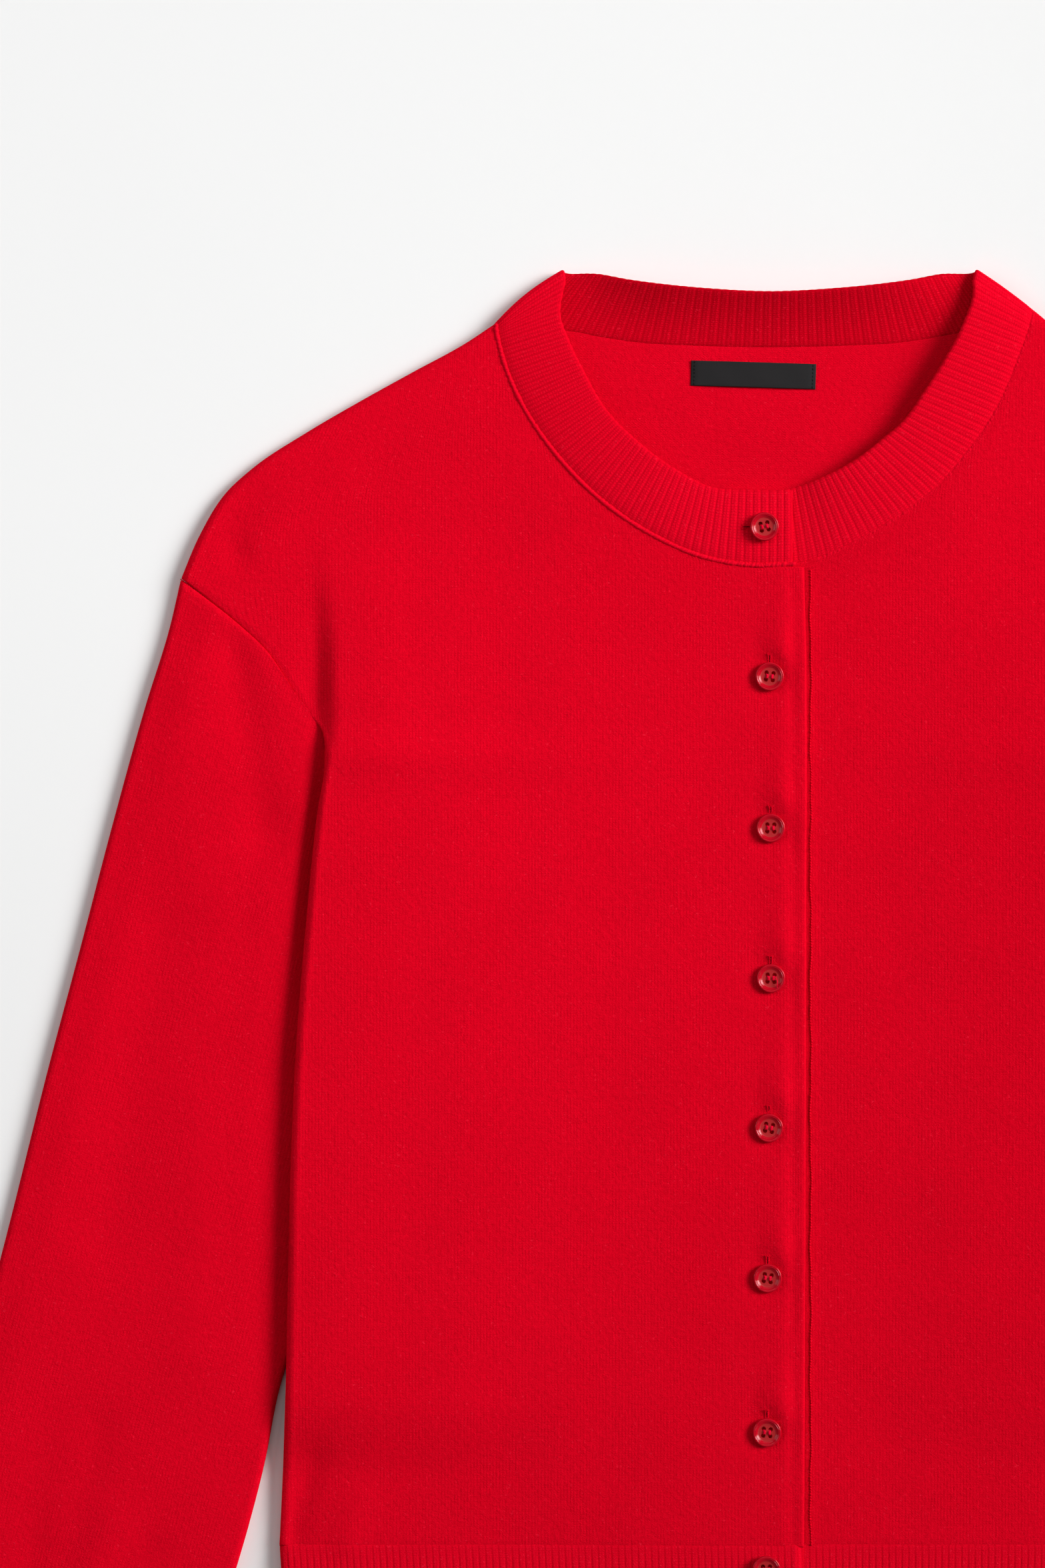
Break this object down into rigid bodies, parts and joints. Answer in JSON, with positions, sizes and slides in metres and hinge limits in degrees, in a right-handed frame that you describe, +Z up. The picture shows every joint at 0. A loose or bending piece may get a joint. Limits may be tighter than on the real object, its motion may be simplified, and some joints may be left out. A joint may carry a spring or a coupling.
{
  "type": "button cardigan",
  "caption": "Long-sleeved knitted wool cardigan laid flat, front up, with a round ribbed neckband, dropped shoulders and a row of buttons down the front.",
  "frame": {"origin": "on the surface that the cardigan lies on, under the middle of its overall width and length", "axes": "+X to the wearer's left across the garment, +Y from the hem to the neck, +Z up out of the front"},
  "size_m": [0.7786, 0.6835, 0.0135],
  "materials": {
    "jersey": "matt, lightly felted wool jersey",
    "rib_knit": "matt ribbed wool knit",
    "label_cloth": "matt woven tape",
    "button_gloss": "glossy"
  },
  "bodies": {
    "root": {"back": "jersey", "front_right": "jersey", "front_left": "jersey", "sleeve_right": "jersey", "sleeve_left": "jersey", "cuff_right": "rib_knit", "cuff_left": "rib_knit", "hem_rib_front_right": "rib_knit", "hem_rib_front_left": "rib_knit", "hem_rib_back": "rib_knit", "neckband": "rib_knit", "neck_label": "label_cloth", "button_1": "button_gloss", "button_2": "button_gloss", "button_3": "button_gloss", "button_4": "button_gloss", "button_5": "button_gloss", "button_6": "button_gloss", "button_7": "button_gloss", "button_8": "button_gloss"}
  },
  "joints": []
}
